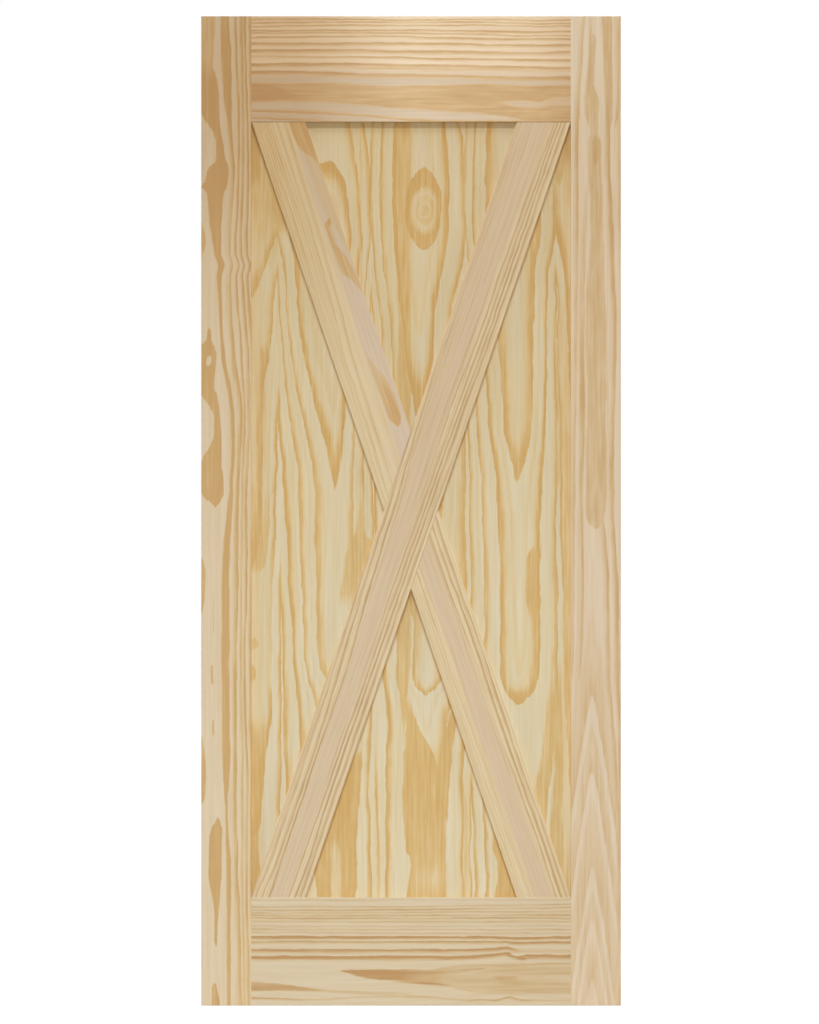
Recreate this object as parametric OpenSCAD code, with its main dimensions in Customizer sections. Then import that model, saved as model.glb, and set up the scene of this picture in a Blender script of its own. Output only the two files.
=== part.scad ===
// Sliding barn door slab in clear pine: a stile and rail frame, one flat panel held in
// its grooves, and an X brace planted on the front of the panel.
// The slab stands upright: X across, Y through the thickness with the braced front
// towards -Y, and Z up from the middle of the bottom edge.

/* [Slab] */
// Overall width of the door
door_w = 905; // [700:1:1220]
// Overall height of the door
door_h = 2134; // [1900:1:2450]
// Thickness of the stiles and rails
door_t = 35; // [32:0.5:45]

/* [Frame] */
// Face width of each stile
stile_w = 108; // [85:1:140]
// Face width of the top rail
top_rail_w = 228; // [140:1:280]
// Face width of the bottom rail
bottom_rail_w = 233; // [140:1:320]
// Radius that eases the four outer edges of the slab
outer_ease = 1.5; // [0.5:0.1:3]
// Bevel on the frame edges that face the panel
inner_bevel = 0.8; // [0.3:0.1:1.4]

/* [Panel] */
// Thickness of the flat panel, and of the stub tenons that share its groove
panel_t = 9; // [6:0.5:12]
// Depth of the panel groove in the stiles and rails
groove_depth = 12; // [8:0.5:18]
// Room left beside and above the panel for the wood to move
panel_gap = 2; // [0.5:0.5:4]
// Gap between the panel's faces and the groove walls
groove_clearance = 0.1; // [0.05:0.05:0.3]
// Gap between the end of a stub tenon and the bottom of the stile groove
tenon_gap = 0.5; // [0.2:0.1:1.5]

/* [Braces] */
// Width of the brace boards
brace_w = 110; // [70:1:150]
// Depth of the brace faces below the face of the frame
brace_reveal = 1.5; // [1.5:0.1:4]
// Bevel on the long front edges of the braces
brace_bevel = 0.8; // [0.3:0.1:1.5]

/* [Dowels] */
// Dowels across each joint of stile and rail
dowel_count = 3; // [2:1:4]
// Diameter of a dowel
dowel_d = 12; // [8:0.5:16]
// Length of a dowel
dowel_l = 110; // [70:1:140]
// Gap between a dowel and the wall of its hole
dowel_clearance = 0.1; // [0.05:0.05:0.3]
// Depth of each hole beyond the end of its dowel
dowel_end_gap = 2; // [0.5:0.5:5]
// Chamfer on the ends of a dowel
dowel_chamfer = 1.5; // [0.5:0.1:2.5]
// Glue flutes along a dowel
flute_count = 8; // [6:1:12]
// Radius of the cutter that makes a flute
flute_r = 0.8; // [0.4:0.1:1.2]

/* [Hidden] */
$fn = 48;

// How far every cutter runs past the wood it cuts
overrun = 1;

// The opening between stiles and rails
open_w = door_w - 2 * stile_w;
open_bottom = bottom_rail_w;
open_top = door_h - top_rail_w;
open_h = open_top - open_bottom;
open_middle = (open_top + open_bottom) / 2;

// The groove and what lies in it
groove_w = panel_t + 2 * groove_clearance;
tenon_l = groove_depth - tenon_gap;
panel_w = open_w + 2 * (groove_depth - panel_gap);
panel_bottom = open_bottom - groove_depth;
panel_top = open_top + groove_depth - panel_gap;

// A brace runs from corner to corner. Its end along the rail, brace_run, and its slope
// depend on each other: brace_run = brace_w / cos(angle), tan(angle) = (open_w - brace_run) / open_h.
brace_front = -door_t / 2 + brace_reveal;
brace_back = -panel_t / 2;
brace_t = brace_back - brace_front;
run_a = pow(open_h, 2) - pow(brace_w, 2);
run_b = pow(brace_w, 2) * open_w;
run_c = pow(brace_w, 2) * (pow(open_h, 2) + pow(open_w, 2));
brace_run = (sqrt(pow(run_b, 2) + run_a * run_c) - run_b) / run_a;
brace_angle = atan((open_w - brace_run) / open_h);
stock_l = open_h + open_w;

// The dowel joints
dowel_hole_r = dowel_d / 2 + dowel_clearance;
dowel_hole_l = dowel_l + 2 * dowel_end_gap;

// Distance of one dowel of a joint from the outer edge of a rail
function dowel_at(rail_w, i) = rail_w * (i + 1) / (dowel_count + 1);

// What rounds a corner at the origin, for wood that fills the first quadrant
module corner_round(radius) {
    difference() {
        translate([-overrun, -overrun]) square(radius + overrun);
        translate([radius, radius]) circle(r = radius);
    }
}

// What bevels a corner at the origin, for wood that fills the first quadrant
module corner_bevel(leg) {
    polygon([[-overrun, -overrun], [leg + overrun, -overrun], [-overrun, leg + overrun]]);
}

// A profile drawn in Y and Z, run along X about the middle of the door
module along_x(length) {
    rotate([90, 0, 90]) linear_extrude(length, center = true) children();
}

// Holes across the two joints at the ends of a rail whose outer edge lies at zero height
module rail_dowel_holes(rail_w) {
    for (end = [-1, 1], i = [0 : dowel_count - 1])
        translate([end * open_w / 2, 0, dowel_at(rail_w, i)])
            rotate([0, 90, 0])
                cylinder(r = dowel_hole_r, h = dowel_hole_l, center = true);
}

// The same holes at both rails, as the stiles see them
module frame_dowel_holes() {
    rail_dowel_holes(bottom_rail_w);
    translate([0, 0, door_h]) mirror([0, 0, 1]) rail_dowel_holes(top_rail_w);
}

// Section of the left stile, from its outer edge at zero to its grooved inner edge
module stile_section() {
    difference() {
        translate([0, -door_t / 2]) square([stile_w, door_t]);
        translate([stile_w - groove_depth, -groove_w / 2])
            square([groove_depth + overrun, groove_w]);
        for (face = [0, 1])
            mirror([0, face]) translate([0, -door_t / 2]) corner_round(outer_ease);
    }
}

// What eases the ends of the stiles, front and back, in line with the rails' outer edges
module slab_end_rounds() {
    for (end = [0, 1], face = [0, 1])
        translate([0, 0, end * door_h]) mirror([0, 0, end]) mirror([0, face, 0])
            translate([0, -door_t / 2, 0]) along_x(door_w + 2 * overrun) corner_round(outer_ease);
}

// What bevels the inner edges of the left stile between the two rails
module stile_bevels() {
    for (face = [0, 1])
        mirror([0, face, 0]) translate([-open_w / 2, -door_t / 2, open_bottom])
            mirror([1, 0, 0]) linear_extrude(open_h) corner_bevel(inner_bevel);
}

module stile() {
    difference() {
        translate([-door_w / 2, 0, 0]) linear_extrude(door_h) stile_section();
        slab_end_rounds();
        stile_bevels();
        frame_dowel_holes();
    }
}

// Section of a rail, from its outer edge at zero height to its grooved inner edge
module rail_section(rail_w) {
    difference() {
        translate([-door_t / 2, 0]) square([door_t, rail_w]);
        translate([-groove_w / 2, rail_w - groove_depth])
            square([groove_w, groove_depth + overrun]);
        for (face = [0, 1]) mirror([face, 0]) {
            translate([-door_t / 2, 0]) corner_round(outer_ease);
            translate([-door_t / 2, rail_w]) mirror([0, 1]) corner_bevel(inner_bevel);
        }
    }
}

// A rail with its outer edge at zero height and a stub tenon at each end
module rail(rail_w) {
    difference() {
        union() {
            along_x(open_w) rail_section(rail_w);
            along_x(open_w + 2 * tenon_l)
                translate([-panel_t / 2, 0]) square([panel_t, rail_w - groove_depth]);
        }
        rail_dowel_holes(rail_w);
    }
}

// Planed brace stock, upright about the middle of the opening, with bevelled front edges
module brace_stock() {
    linear_extrude(stock_l, center = true)
        difference() {
            translate([-brace_w / 2, brace_front]) square([brace_w, brace_t]);
            for (edge = [0, 1])
                mirror([edge, 0]) translate([-brace_w / 2, brace_front]) corner_bevel(brace_bevel);
        }
}

// Brace stock leaning to one side and cut off level at the rails
module fitted_brace(angle) {
    intersection() {
        translate([0, 0, open_middle]) rotate([0, angle, 0]) brace_stock();
        translate([-stock_l / 2, brace_front, open_bottom]) cube([stock_l, brace_t, open_h]);
    }
}

// The half of the second diagonal above the long brace, cut to butt against its edge
module short_brace() {
    difference() {
        fitted_brace(-brace_angle);
        translate([0, 0, open_middle]) rotate([0, brace_angle, 0])
            translate([-brace_w / 2, brace_front - overrun, -stock_l / 2])
                cube([stock_l, brace_t + 2 * overrun, stock_l]);
    }
}

// A joinery dowel along X with chamfered ends and glue flutes
module dowel() {
    dowel_r = dowel_d / 2;
    half_l = dowel_l / 2;
    rotate([0, 90, 0]) difference() {
        rotate_extrude() polygon([
            [0, -half_l], [dowel_r - dowel_chamfer, -half_l], [dowel_r, dowel_chamfer - half_l],
            [dowel_r, half_l - dowel_chamfer], [dowel_r - dowel_chamfer, half_l], [0, half_l]
        ]);
        for (i = [0 : flute_count - 1])
            rotate([0, 0, i * 360 / flute_count]) translate([dowel_r, 0, 0])
                cylinder(r = flute_r, h = dowel_l + 2 * overrun, center = true);
    }
}

// The dowels of the joint at the left end of a rail whose outer edge lies at zero height
module joint_dowels(rail_w) {
    color("burlywood") for (i = [0 : dowel_count - 1])
        translate([-open_w / 2, 0, dowel_at(rail_w, i)]) dowel();
}

module left_stile() {
    color("#DCC39A") stile();
}

module right_stile() {
    color("#DCC39A") mirror([1, 0, 0]) stile();
}

module bottom_rail() {
    color("#DEC79C") rail(bottom_rail_w);
}

module top_rail() {
    color("#DEC79C") translate([0, 0, door_h]) mirror([0, 0, 1]) rail(top_rail_w);
}

module panel() {
    color("#E2CA8E") translate([-panel_w / 2, -panel_t / 2, panel_bottom])
        cube([panel_w, panel_t, panel_top - panel_bottom]);
}

module long_brace() {
    color("#D8BF9B") fitted_brace(brace_angle);
}

module upper_short_brace() {
    color("#D8BF9B") short_brace();
}

module lower_short_brace() {
    color("#D8BF9B") translate([0, 0, 2 * open_middle]) rotate([0, 180, 0]) short_brace();
}

module bottom_left_dowels() {
    joint_dowels(bottom_rail_w);
}

module bottom_right_dowels() {
    mirror([1, 0, 0]) joint_dowels(bottom_rail_w);
}

module top_left_dowels() {
    translate([0, 0, door_h]) mirror([0, 0, 1]) joint_dowels(top_rail_w);
}

module top_right_dowels() {
    mirror([1, 0, 0]) top_left_dowels();
}

left_stile();
right_stile();
top_rail();
bottom_rail();
panel();
long_brace();
upper_short_brace();
lower_short_brace();
top_left_dowels();
top_right_dowels();
bottom_left_dowels();
bottom_right_dowels();
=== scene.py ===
import math

import bpy
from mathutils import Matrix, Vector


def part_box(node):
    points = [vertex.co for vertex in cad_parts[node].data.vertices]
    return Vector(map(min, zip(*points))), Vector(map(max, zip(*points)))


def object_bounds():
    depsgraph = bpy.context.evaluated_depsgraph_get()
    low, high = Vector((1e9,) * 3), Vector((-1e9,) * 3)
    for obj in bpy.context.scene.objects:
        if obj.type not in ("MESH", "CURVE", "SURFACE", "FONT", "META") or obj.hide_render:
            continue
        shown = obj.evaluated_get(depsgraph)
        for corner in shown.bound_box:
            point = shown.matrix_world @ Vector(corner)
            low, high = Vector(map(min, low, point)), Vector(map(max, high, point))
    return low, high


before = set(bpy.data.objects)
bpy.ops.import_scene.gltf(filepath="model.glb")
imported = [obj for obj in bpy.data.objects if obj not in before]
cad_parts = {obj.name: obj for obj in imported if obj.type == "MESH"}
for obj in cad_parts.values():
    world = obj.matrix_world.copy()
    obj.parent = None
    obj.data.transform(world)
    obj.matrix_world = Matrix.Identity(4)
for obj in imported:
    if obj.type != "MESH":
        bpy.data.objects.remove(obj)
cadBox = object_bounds()
print("frame loaded:", len(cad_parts), "pieces of pine and dowel")

mm = 0.001


# a shader socket that can be used in sums: each sum adds its Math node
class Wire:
    def __init__(self, socket):
        self.socket = socket
        self.tree = socket.id_data

    def node(self, kind, settings, inputs, output=0):
        made = self.tree.nodes.new(kind)
        for name, value in settings.items():
            if name == "points":
                setCurve(made.mapping, value)
            else:
                setattr(made, name, value)
        for name, value in inputs.items():
            if isinstance(value, Wire):
                self.tree.links.new(value.socket, made.inputs[name])
            else:
                made.inputs[name].default_value = value
        return Wire(made.outputs[output]) if made.outputs else None

    def output(self, name):
        return Wire(self.socket.node.outputs[name])

    def math(self, operation, first, second=0.0):
        return self.node("ShaderNodeMath", {"operation": operation}, {0: first, 1: second})

    def __add__(self, other):
        return self.math("ADD", self, other)

    def __sub__(self, other):
        return self.math("SUBTRACT", self, other)

    def __rsub__(self, other):
        return self.math("SUBTRACT", other, self)

    def __mul__(self, other):
        return self.math("MULTIPLY", self, other)

    def __truediv__(self, other):
        return self.math("DIVIDE", self, other)

    def __pow__(self, other):
        return self.math("POWER", self, other)

    def __abs__(self):
        return self.math("ABSOLUTE", self)

    __radd__ = __add__
    __rmul__ = __mul__


def setCurve(mapping, points):
    mapping.use_clip = False
    mapping.extend = "HORIZONTAL"
    line = mapping.curves[0]
    for place in points[2:]:
        line.points.new(*place)
    for point, place in zip(line.points, points):
        point.location = place
        point.handle_type = "AUTO_CLAMPED"
    mapping.update()


def curve(value, points):
    return value.node("ShaderNodeFloatCurve", {"points": points}, {"Value": value})


def laid(along, stations):       # what changes along the board, or one number for all of it
    return curve(along, stations) if isinstance(stations, list) else stations


def ramp(value, low, high):      # 0 at low, 1 at high, straight between
    share = value.math("MINIMUM", (value - low) / (high - low), 1.0)
    return value.math("MAXIMUM", share, 0.0)


def smooth(value, low, high):    # the same with soft ends, which need no clamp
    return value.node("ShaderNodeMapRange", {"interpolation_type": "SMOOTHSTEP", "clamp": False},
                      {0: value, 1: low, 2: high})


def floor(value):
    return value.math("FLOOR", value)


def vector(x, y, z):
    return x.node("ShaderNodeCombineXYZ", {}, {0: x, 1: y, 2: z})


def noise(place, detail=1.0, roughness=0.5):     # -1 to 1, one unit of place to a swell
    cloud = place.node("ShaderNodeTexNoise", {}, {
        "Vector": place, "Scale": 1.0, "Detail": detail, "Roughness": roughness})
    return cloud * 2.0 - 1.0


def luckOf(ring):                # one lasting number from 0 to 1 for each year's ring
    return ring.node("ShaderNodeTexWhiteNoise", {"noise_dimensions": "1D"}, {"W": ring})


def mix(share, first, second, blend="MIX"):
    wire = share if isinstance(share, Wire) else first
    return wire.node("ShaderNodeMix", {"data_type": "RGBA", "blend_type": blend},
                     {0: share, 6: first, 7: second}, output=2)


def shade(red, green, blue):     # a colour as a picture editor shows it
    def linear(level):
        level = level / 255
        return level / 12.92 if level <= 0.04045 else ((level + 0.055) / 1.055) ** 2.4
    return linear(red), linear(green), linear(blue), 1.0


# board coordinates in millimetres, turned with the board
class Board:
    def __init__(self, name, centre=(0, 0, 0), turn=0.0, sideways=False):
        self.material = bpy.data.materials.new(name)
        self.material.use_nodes = True
        self.tree = self.material.node_tree
        self.tree.nodes.clear()
        place = Wire(self.tree.nodes.new("ShaderNodeTexCoord").outputs["Object"])
        local = place.node("ShaderNodeMapping", {"vector_type": "TEXTURE"}, {
            "Vector": place, "Location": centre, "Rotation": (0, turn, 0), "Scale": (mm, mm, mm)})
        x = local.node("ShaderNodeSeparateXYZ", {}, {0: local})
        self.across, self.through, self.along = x, x.output("Y"), x.output("Z")
        if sideways:
            self.across, self.along = self.along, self.across

    # noise drawn out along the grain: how wide and how long its swells are
    def cloud(self, width, length, detail=1.0, roughness=0.5, shift=0.0):
        place = vector(self.across / width, self.through / width, self.along / length + shift)
        return noise(place, detail, roughness)


# rings swell between listed lines that run along the grain: each line has its place across
# the board and its ring along it, and the odd lines are the valleys that the even ones rise from
def ringTerrain(across, along, lines, steepness):
    rings = curve(along, lines[0][1])
    for number in range(len(lines) - 1):
        (start, startRings), (end, endRings) = lines[number], lines[number + 1]
        share = ramp(across, start, end)
        steep = laid(along, steepness[number])
        if number % 2 == 0:
            share = share ** steep
        else:
            share = 1.0 - (1.0 - share) ** steep
        rings = rings + share * (curve(along, endRings) - curve(along, startRings))
    return rings


# how far each ring has gone from its pale spring wood to its dark late wood
def lateWood(board, rings, tone):
    rings = rings + board.cloud(*tone["featherSwell"]) * tone["feather"]
    ring = floor(rings)
    part = rings - ring
    wide, deep, long = tone["girthSwell"]
    girth = noise(vector(board.across / wide + ring * 3.7, board.through / deep, board.along / long), 0.0)
    late = smooth(part, tone["lateFrom"] + girth * tone["lateSwing"], tone["lateFull"])
    late = late * (1.0 - smooth(part, tone["edge"], 1.0))
    late = late * (1.0 - tone["ringLuck"] * luckOf(ring))
    rise, peak, end = tone["checkSpan"]
    check = smooth(part, rise, peak) * (1.0 - smooth(part, peak, end))
    return late.math("MAXIMUM", late, check * luckOf(ring * 1.3 + 5.5) * tone["check"])


# one dark line: sharp on one side, soft over its width on the other, which a width below zero swaps
def lineOf(across, along, width, strength, stations, figure):
    place = laid(along, stations)
    gap = place - across if width > 0 else across - place
    amount = laid(along, strength) * figure.get("lineShare", 1.0)
    soft = 1.0 - smooth(gap, 0.0, figure["broad"] * abs(width))
    return soft * smooth(gap, -figure["sharp"], 0.0) * amount


# a dark patch between two edges, the lower one softer
def patchOf(across, along, strength, soft, lows, highs):
    fromLow = smooth(across - laid(along, lows), 0.0, soft)
    toHigh = smooth(laid(along, highs) - across, 0.0, 0.6 * soft)
    return fromLow * toHigh * laid(along, strength)


threadShape = {"rise": (0.2, 0.8), "fall": (0.85, 1.0), "least": 0.3}


# threads of late wood, one to each pitch, some stronger than others
def threads(across, pitch, strength):
    rings = across / pitch
    ring = floor(rings)
    part = rings - ring
    thread = smooth(part, *threadShape["rise"]) * (1.0 - smooth(part, *threadShape["fall"]))
    least = threadShape["least"]
    return thread * (least + (1.0 - least) * luckOf(ring)) * strength


# dark patches over what is there, then pale islands
def laidPatches(late, across, along, figure):
    dark = pale = across * 0.0
    for patch in figure.get("patches", []):
        dark = dark.math("MAXIMUM", dark, patchOf(across, along, *patch))
    for island in figure.get("islands", []):
        pale = pale.math("MAXIMUM", pale, patchOf(across, along, *island))
    return late.math("MAXIMUM", late, dark) * (1.0 - pale)


# lines and patches, as listed. A line has its width, strength and places, and a patch its strength,
# softness and two edges. A place is how far along the board, then across it, in millimetres
def laidGrain(across, along, figure):
    late = threads(across, *figure["threads"]) if "threads" in figure else across * 0.0
    for width, strength, stations in figure["lines"]:
        late = late.math("MAXIMUM", late, lineOf(across, along, width, strength, stations, figure))
    return laidPatches(late, across, along, figure)


boardSway = {
    # how wide and long, then how detailed and rough
    "slow": (45, 190), "fine": (11, 40, 2.0), "feather": (2.2, 30), "jag": (4, 90, 2.0, 0.7),
    "slowReach": 2.2, "fineReach": 2.2, "featherReach": 1.2,
    "cupping": 0.004,
}


# the board's own sway, and rings that slant through its thickness
def swayed(board, figure):
    slow = board.cloud(*boardSway["slow"], shift=figure["seed"])
    fine = board.cloud(*boardSway["fine"], shift=figure["seed"])
    feather = board.cloud(*boardSway["feather"])
    depth = board.through + figure["front"]
    bent = board.across + slow * boardSway["slowReach"] + fine * boardSway["fineReach"]
    bent = bent + feather * boardSway["featherReach"]
    bent = bent + depth * figure["slant"] + depth * depth * boardSway["cupping"]
    for place, size, reach in figure.get("kinks", []):
        bent = bent - size * (1.0 - smooth(abs(board.along - place), 0.0, reach))
    jag = board.cloud(*boardSway["jag"])
    return bent, board.along + jag * figure["jag"]


sanded = {
    "fibre": (1.6, 90, 2.0, 0.6), "streak": (5, 130), "mottle": (16, 60, 2.0), "tint": (30, 400),
    "tintSpan": (-0.5, 0.5), "streakSpan": (-0.6, 0.6),
    "unevenness": 0.35,          # what streaks and mottling do to the late wood
    "honeyFull": 0.6, "amberFrom": 0.35,
    "roughness": 0.62, "lateSheen": 0.1, "fibreRoughness": 0.06,
    "lateRise": 0.6, "fibreRise": 0.4, "bumpStrength": 0.12, "bumpDepth": 0.0004,
    "specular": 0.25,
}


def finishPine(board, late, tone, blush=None):
    fibre = board.cloud(*sanded["fibre"])
    streak = board.cloud(*sanded["streak"])
    mottle = board.cloud(*sanded["mottle"])
    late = late * (1.0 + sanded["unevenness"] * streak + sanded["unevenness"] * mottle)
    tint = smooth(board.cloud(*sanded["tint"]), *sanded["tintSpan"])
    colour = mix(tint * tone["tintShare"], shade(*tone["pale"]), shade(*tone["tint"]))
    if blush is not None:        # where the board has a plainer tone of its own
        colour = mix(blush, colour, shade(*tone["blush"]))
    colour = mix(ramp(late, 0.0, sanded["honeyFull"]), colour, shade(*tone["honey"]))
    colour = mix(smooth(late, sanded["amberFrom"], 1.0), colour, shade(*tone["amber"]))
    # painted shade: the colour is multiplied darker and browner along the board by its curve, standing in for
    # where less light falls
    if "paintedShade" in tone:
        colour = mix(curve(board.along, tone["paintedShade"]), colour, tone["paintedShadeColour"], "MULTIPLY")
    colour = mix((0.5 + 0.5 * fibre) * tone["fibreShare"], colour, tone["fibre"], "MULTIPLY")
    streaks = smooth(streak, *sanded["streakSpan"])
    colour = mix(streaks * tone["fibreShare"], colour, tone["fibre"], "MULTIPLY")
    rough = sanded["roughness"] - sanded["lateSheen"] * late + sanded["fibreRoughness"] * fibre
    height = late * sanded["lateRise"] + fibre * sanded["fibreRise"]
    bump = height.node("ShaderNodeBump", {}, {
        "Strength": sanded["bumpStrength"], "Distance": sanded["bumpDepth"], "Height": height})
    surface = colour.node("ShaderNodeBsdfPrincipled", {}, {
        "Base Color": colour, "Roughness": rough, "Normal": bump, "Specular IOR Level": sanded["specular"]})
    surface.node("ShaderNodeOutputMaterial", {}, {"Surface": surface})
    return board.material


def finishLaidPine(board, figure):
    place = swayed(board, figure)
    blush = patchOf(*place, *figure["blush"]) if "blush" in figure else None
    return finishPine(board, laidGrain(*place, figure), {**plainTone, **figure["tone"]}, blush)


def dress(node, material):
    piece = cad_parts[node]
    piece.data.materials.clear()
    piece.data.materials.append(material)


plainTone = {
    "feather": 0.05, "featherSwell": (3.0, 70), "girthSwell": (90, 60, 380),     # how wide, deep and long
    "lateFrom": 0.42, "lateSwing": 0.3, "lateFull": 0.95, "edge": 0.97, "ringLuck": 0.25,
    "check": 0.4, "checkSpan": (0.12, 0.34, 0.42),       # a thin line within some rings
    "pale": (221, 211, 184), "honey": (219, 195, 145), "amber": (204, 166, 105),
    "tint": (222, 204, 166), "tintShare": 0.4,
    # the darker, browner colour that painted shade multiplies in
    "paintedShadeColour": (0.80, 0.70, 0.55, 1.0),
    "fibre": (0.93, 0.90, 0.86, 1.0), "fibreShare": 0.8,
}

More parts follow.
